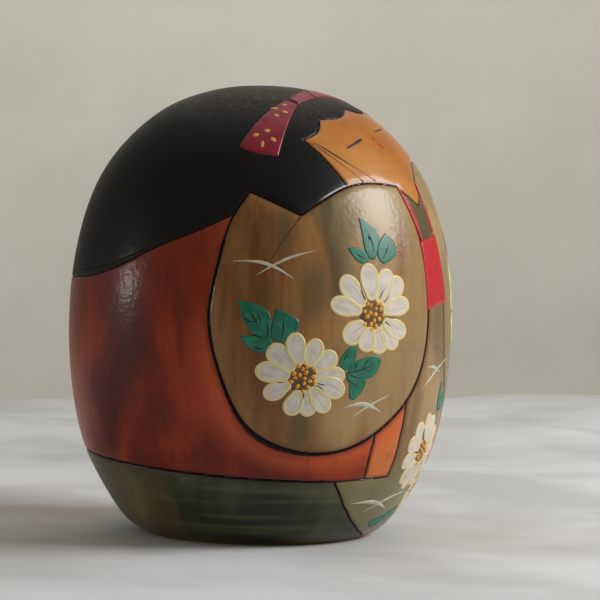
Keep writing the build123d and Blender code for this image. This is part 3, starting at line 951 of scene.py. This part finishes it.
def varnished(name, dark, middle, light, groove, stretch, blotch=26.0, contrast=1.0, coat=0.5,
              coat_rough=0.18, base_rough=0.42, peel=0.16, brush=None, plus=None, minus=None,
              crown_pore_sheen=False, patch=None, plus_weight=0.85, glow=None, painted_gleam=False):
    """Stained, turned wood under varnish, with the carved lines darkened.

    plus and minus are the tones where the field's tint is 1 and -1. glow is a
    thinner, warmer stain beside a sleeve; the gleam is a painted highlight, a
    pale line painted on the outer wall of the groove over a sleeve, where the
    varnished wall would reflect the pale cloth.
    """
    g = Graph(name)
    clouds = g.noise(blotch, 5.0, 0.6, (1, 1, stretch), 0.4)
    spread = 0.2 / contrast
    colour = g.mix(g.ramp(clouds, 0.5 - spread, 0.5 + spread), dark, middle)
    patches = g.noise(blotch * 0.55, 3.0, 0.5, (1.0, 1.0, 0.7))
    colour = g.mix(g.ramp(patches, 0.50, 0.68, 0.0, 0.9), colour, light)
    if patch is not None:
        stains = g.noise(blotch * 0.8, 3.0, 0.5, (1.3, 1.3, 0.35), 0.6)
        colour = g.mix(g.ramp(stains, 0.54, 0.66, 0.0, 0.85), colour, patch)
    tint = g.attribute("tint")
    if plus is not None:
        colour = g.mix(g.times(g.ramp(tint, 0.0, 1.0), plus_weight), colour, plus)
    if minus is not None:
        colour = g.mix(g.times(g.ramp(tint, 0.0, -1.0), 0.7), colour, minus)
    if glow is not None:
        beside_sleeve = g.maths("ADD", g.attribute("sleeve"), g.times(clouds, 5.0))
        below = g.ramp(g.height(), 0.05, 0.085, 1.0, 0.1)
        colour = g.mix(g.times(g.ramp(beside_sleeve, 4.0, 13.0, 0.7, 0.0), below), colour, glow)
    grain = g.noise(420.0, 3.0, 0.6, (1.0, 1.0, 0.055))
    colour = g.mix(g.ramp(grain, 0.52, 0.78, 0.0, 0.34), colour, dark)
    if brush is not None:
        lines = g.noise(300.0, 2.0, 0.5, (0.05, 0.05, 1.0))
        colour = g.mix(g.ramp(lines, 0.45, 0.75, 0.0, 0.5), colour, brush)
    lathe = g.noise(240.0, 3.0, 0.6, (0.04, 0.04, 1.0))
    colour = g.mix(g.ramp(lathe, 0.55, 0.75, 0.0, 0.22), colour, dark)
    # lighter end-grain pores, kept to the crown: the pores are the wood's own, the lighter tone also paints
    # the crown's highlight
    if crown_pore_sheen:
        pores = g.noise(330.0, 4.0, 0.75, (1.0, 1.0, 0.3), 2.2)
        lift = g.times(g.ramp(pores, 0.50, 0.57), g.ramp(g.height(), 0.134, 0.149))
        colour = g.mix(g.times(lift, 0.6), colour, CROWN_PORE_SHEEN)
    ragged = g.times(g.maths("SUBTRACT", g.noise(500.0, 2.0), 0.5), 0.35)
    wobble = g.maths("ADD", g.attribute("edge"), ragged)
    colour = g.mix(g.ramp(wobble, 1.0, 3.0, 0.4, 0.0), colour, dark)
    colour = g.mix(g.ramp(wobble, 0.6, 0.95, 1.0, 0.0), colour, groove)
    # painted highlight: a pale line painted along the groove over a sleeve, standing in for the cloth's
    # reflection
    if painted_gleam:
        near = g.attribute("sleeve")
        band = g.times(g.ramp(near, 0.35, 0.55), g.ramp(near, 0.75, 1.05, 1.0, 0.0))
        band = g.times(band, g.ramp(g.height(), 0.108, 0.114))
        band = g.times(band, g.ramp(tint, 0.0, 1.0))
        colour = g.mix(g.times(band, 0.9), colour, PAINTED_GLEAM_COLOUR)
    skin = g.bump(g.noise(520.0, 2.0, 0.5), peel, 0.0008)
    skin = g.bump(g.noise(120.0, 2.0, 0.4), peel * 0.5, 0.002, Normal=skin)
    g.fill(g.shader, Base_Color=colour, Specular_IOR_Level=0.15, Normal=g.bump(grain, 0.12, 0.0006),
           Roughness=g.ramp(clouds, 0.3, 0.7, base_rough - 0.06, base_rough + 0.08),
           Coat_Weight=coat, Coat_Roughness=coat_rough, Coat_IOR=1.5, Coat_Normal=skin)
    return g.mat


def paint(name, main, second, rim_colour=None, rim_at=(0.3, 0.6), rough=0.42, streaks=None, coat=0.35,
          thin=0.0):
    """Thick opaque paint with brush marks; the rim follows the stroke's own edge."""
    g = Graph(name)
    spots = g.noise(260.0, 4.0, 0.6)
    colour = g.mix(g.ramp(spots, 0.42, 0.7), main, second)
    along = g.attribute("along")
    combine = g.add("CombineXYZ", X=g.times(g.attribute("across"), 4.5), Y=g.times(along, 1.2),
                    Z=g.times(g.attribute("which"), 40.0))
    bristle = g.add("TexNoise", Vector=combine.outputs[0], Scale=1.0, Detail=2.0).outputs["Fac"]
    if streaks is not None:
        colour = g.mix(g.ramp(bristle, 0.50, 0.68, 0.0, 0.6), colour, streaks)
        colour = g.mix(g.ramp(along, 0.34, 0.0, 0.0, 0.6), colour, streaks)
    if thin:
        colour = g.mix(g.ramp(bristle, 0.5, 0.7, 0.0, thin), colour, WOOD_THROUGH_PAINT)
    if rim_colour is not None:
        ragged = g.maths("ADD", g.attribute("rim"), g.times(g.maths("SUBTRACT", spots, 0.5), 0.25))
        colour = g.mix(g.ramp(ragged, *rim_at, 0.0, 0.95), colour, rim_colour)
    marks = g.bump(bristle, 0.25, 0.0004)
    g.fill(g.shader, Base_Color=colour, Normal=g.bump(spots, 0.2, 0.0003, Normal=marks),
           Roughness=g.ramp(spots, 0.3, 0.7, rough - 0.06, rough + 0.1),
           Coat_Weight=coat, Coat_Roughness=0.22, Specular_IOR_Level=0.4)
    return g.mat


# colours as sRGB, 0 to 255
GROOVE_INK = (34, 18, 18)
# pale end-grain pores at the crown, partly a painted highlight
CROWN_PORE_SHEEN = (92, 78, 58)
# colour of the painted highlight along the groove over a sleeve
PAINTED_GLEAM_COLOUR = (214, 204, 204)
WOOD_THROUGH_PAINT = (110, 90, 62)
SLEEVE_STAIN = dict(
    dark=(110, 62, 24), middle=(160, 112, 60), light=(176, 150, 98), groove=GROOVE_INK, stretch=0.22,
    contrast=1.5, peel=0.2, coat_rough=0.24, patch=(78, 68, 42), plus=(176, 148, 98), plus_weight=0.55,
    minus=(86, 78, 50))
# each field's slot, material name and look
STAINS = {
    "hair": ("black_hair", "hair_black", dict(
        dark=(9, 8, 6), middle=(14, 13, 9), light=(20, 17, 11), groove=(22, 14, 12), stretch=0.3,
        coat=0.18, coat_rough=0.28, base_rough=0.6, peel=0.1, crown_pore_sheen=True, painted_gleam=True)),
    "face": ("skin_stain", "face_wood", dict(
        dark=(174, 100, 38), middle=(192, 122, 50), light=(202, 134, 62), groove=(52, 22, 20),
        stretch=0.5, blotch=40.0, contrast=0.8, peel=0.08, coat=0.4, painted_gleam=True)),
    "coat": ("coat_stain", "coat_stain", dict(
        dark=(100, 23, 7), middle=(170, 60, 25), light=(226, 114, 52), groove=GROOVE_INK, stretch=0.7,
        contrast=1.3, patch=(64, 14, 8), plus=(218, 122, 60), minus=(92, 22, 10), glow=(206, 92, 46),
        coat=0.3, coat_rough=0.22)),
    "sleeve_right": ("kimono_stain", "kimono_stain_sleeve_right", dict(SLEEVE_STAIN, blotch=40.0)),
    "sleeve_left": ("kimono_stain", "kimono_stain_sleeve_left", dict(SLEEVE_STAIN, blotch=41.0)),
    "kimono_front": ("kimono_stain", "kimono_front_stain", dict(
        dark=(128, 92, 52), middle=(170, 136, 86), light=(190, 160, 110), groove=GROOVE_INK, stretch=0.22,
        blotch=42.0, contrast=1.4, peel=0.2, patch=(118, 98, 60), plus=(66, 62, 36),
        minus=(116, 120, 88))),
    "skirt": ("skirt_stain", "skirt_stain", dict(
        dark=(32, 36, 22), middle=(84, 88, 56), light=(134, 120, 80), groove=(20, 13, 12), stretch=0.8,
        blotch=30.0, contrast=1.3, peel=0.12, coat=0.35, coat_rough=0.3, patch=(104, 78, 42),
        brush=(98, 100, 68))),
}
BARE_WOOD = dict(
    dark=(150, 108, 66), middle=(178, 136, 88), light=(196, 156, 108), groove=(150, 108, 66), stretch=0.2,
    blotch=50.0, coat=0.1, base_rough=0.6)
# each kind of motif's slot and paint
MOTIF_PAINTS = {
    "petals": ("white_paint", dict(name="petal_white", main=(220, 208, 196), second=(204, 190, 174),
                                   rim_colour=(226, 206, 146), rim_at=(0.46, 0.62),
                                   streaks=(188, 172, 152))),
    "heart": ("ochre_paint", dict(name="heart_brown", main=(88, 62, 40), second=(122, 88, 44))),
    "dots": ("ochre_paint", dict(name="dot_ochre", main=(232, 162, 34), second=(216, 138, 24))),
    "leaves": ("green_paint", dict(name="leaf_green", main=(12, 104, 78), second=(34, 128, 98),
                                   rim_colour=(10, 86, 64), rim_at=(0.7, 0.95), coat=0.2)),
    "veins": ("dark_paint", dict(name="vein_black", main=(10, 14, 12), second=(16, 22, 18), coat=0.1)),
    "needles": ("grey_paint", dict(name="needle_grey", main=(206, 202, 180), second=(180, 172, 142),
                                   thin=0.5)),
}


def dress(pieces, material):
    for piece in pieces:
        piece.data.materials.clear()
        piece.data.materials.append(material)


def colour_fields(fields, core):
    for field, (slot, name, look) in STAINS.items():
        dress([fields[field]], varnished(name, **look))
    dress([core], varnished("bare_wood", **BARE_WOOD))


def colour_paint(groups, cloth, drops, reds, inks):
    for kind, (slot, look) in MOTIF_PAINTS.items():
        dress(groups[kind], paint(**look))
    ink = paint("ink_brown", (58, 24, 20), (40, 18, 16), rough=0.5, coat=0.1)
    dress(groups["shadows"] + inks, ink)
    crimson = paint("ribbon_crimson", (142, 12, 36), (110, 8, 28), (176, 60, 84), (0.72, 0.95), rough=0.45,
                    coat=0.3)
    dress(cloth, crimson)
    dress([drops], paint("drop_gold", (218, 160, 84), (204, 140, 66)))
    dress(reds, paint("line_red", (196, 22, 32), (178, 16, 26), coat=0.2))


# ---------------------------------------------------------------- stage, lights, camera
CAMERA_AZIMUTH = -65.0
CAMERA_ELEVATION = 3.0
CAMERA_DISTANCE = 1.0
CAMERA_LENS = 178.3
CAMERA_ROLL = 0.0205
AIM_SIDEWAYS = 0.0132   # the doll stands a little left of and below the picture's centre
AIM_UP = 0.0033
# the stage, in metres; depths run from the doll away from the camera
TABLE_BEHIND = 0.565
TABLE_BEFORE = 1.6
TABLE_ROWS = 90
WALL_BEHIND = 1.7
STAGE_HALF_WIDTH = 2.6
FOLD_HEIGHT = 0.006
DOLL_AIM = 0.07         # heights that lamps are turned to
WALL_AIM = 0.3


def view_axes():
    e = math.radians(CAMERA_ELEVATION)
    sideways, outwards = chart_axes(CAMERA_AZIMUTH)
    back = Vector(outwards) * math.cos(e) + Vector((0, 0, 1)) * math.sin(e)
    right = Vector(sideways)
    up = back.cross(right)
    return right, up, back


def aim(thing, position, target, roll=0.0):
    direction = (Vector(target) - Vector(position)).normalized()
    turn = direction.to_track_quat("-Z", "Y").to_matrix() @ Matrix.Rotation(roll, 3, "Z")
    thing.matrix_world = Matrix.Translation(position) @ turn.to_4x4()


def camera():
    right, up, back = view_axes()
    data = bpy.data.cameras.new("camera")
    data.lens = CAMERA_LENS
    data.sensor_width = 36.0
    eye = bpy.data.objects.new("camera", data)
    bpy.context.scene.collection.objects.link(eye)
    middle = Vector((0, 0, HEIGHT * MM / 2))
    position = middle + back * CAMERA_DISTANCE
    aim(eye, position, middle + right * AIM_SIDEWAYS + up * AIM_UP, CAMERA_ROLL)
    bpy.context.scene.camera = eye


def stage_material(name, colour, second):
    g = Graph(name)
    colour = g.mix(g.ramp(g.noise(9.0, 3.0), 0.35, 0.65), colour, second)
    g.fill(g.shader, Base_Color=colour, Roughness=0.9, Specular_IOR_Level=0.15)
    return g.mat


def cloth_sheet(name, depths, material, folds):
    """A sheet crossing behind the doll: depth and height rows, softly folded."""
    _, outwards = chart_axes(CAMERA_AZIMUTH)
    away = -Vector(outwards)
    across = Vector((-away.y, away.x, 0))
    columns = 160 if folds else 1
    verts, faces = [], []
    for depth, z in depths:
        for k in range(columns + 1):
            side = STAGE_HALF_WIDTH * (2 * k / columns - 1)
            wave = math.sin(side * 12 + 2.2 * math.sin(depth * 9)) * math.sin(depth * 14 + side * 4)
            wave += 0.4 * math.sin(side * 31 - depth * 23)
            clear = min(1.0, max(0.0, (math.hypot(depth, side) - 0.09) / 0.15))
            point = away * depth + across * side
            verts.append((point.x, point.y, z - 0.00002 + folds * clear * (wave - 0.2)))
    stride = columns + 1
    for i in range(len(depths) - 1):
        for k in range(columns):
            a = i * stride + k
            faces.append((a, a + 1, a + stride + 1, a + stride))
    piece = new_object(name, np.array(verts) / MM, faces)
    piece.data.materials.append(material)


def stage():
    """A pale cloth and a plain wall behind it."""
    step = (TABLE_BEHIND + TABLE_BEFORE) / TABLE_ROWS
    rows = [(k * step - TABLE_BEFORE, 0.0) for k in range(TABLE_ROWS + 1)]
    rows += [(TABLE_BEHIND + 0.02, -0.01), (TABLE_BEHIND + 0.03, -0.04)]
    linen = stage_material("table_cloth", (236, 236, 235), (212, 211, 208))
    cloth_sheet("table_cloth", rows, linen, FOLD_HEIGHT)
    wall = stage_material("wall_paint", (214, 210, 196), (208, 204, 190))
    cloth_sheet("wall", [(WALL_BEHIND, -0.9), (WALL_BEHIND, 2.4)], wall, 0.0)


def area_light(name, sideways, up, back, size, power, colour, tall=None, behind=0.0):
    """A rectangular light placed from the camera's view, aimed at the doll or a depth behind it."""
    right, _, _ = view_axes()
    _, outwards = chart_axes(CAMERA_AZIMUTH)
    data = bpy.data.lights.new(name, "AREA")
    data.shape = "RECTANGLE"
    data.size = size
    data.size_y = tall or size
    data.energy = power
    data.color = colour
    lamp = bpy.data.objects.new(name, data)
    bpy.context.scene.collection.objects.link(lamp)
    position = right * sideways + Vector(outwards) * back + Vector((0, 0, up))
    height = WALL_AIM if behind else DOLL_AIM
    aim(lamp, position, Vector((0, 0, height)) - Vector(outwards) * behind)


def lights():
    area_light("right_window", 1.05, 0.66, 0.10, 0.62, 12.4, (0.95, 0.97, 1.0), 0.5)
    area_light("left_window", -1.2, 0.21, 0.10, 0.09, 1.25, (1.0, 0.98, 0.96), 0.11)
    area_light("top_back", 0.0, 1.1, -0.55, 1.0, 1.8, (1.0, 0.98, 0.95))
    area_light("wall_wash", 0.0, 0.65, -0.95, 1.2, 4.7, (1.0, 0.99, 0.97), 0.5, WALL_BEHIND)
    world = bpy.data.worlds.new("room")
    bpy.context.scene.world = world
    world.use_nodes = True
    background = world.node_tree.nodes["Background"]
    background.inputs["Color"].default_value = linear(206, 203, 196)
    background.inputs["Strength"].default_value = 0.34


fields = field_slabs()
core = wood_core()
groups = motifs()
cloth, drops = ribbon()
reds = red_paint()
inks = ink_lines()
colour_fields(fields, core)
colour_paint(groups, cloth, drops, reds, inks)
stage()
lights()
camera()
bpy.context.scene.view_settings.view_transform = "Standard"
bpy.context.scene.view_settings.look = "None"
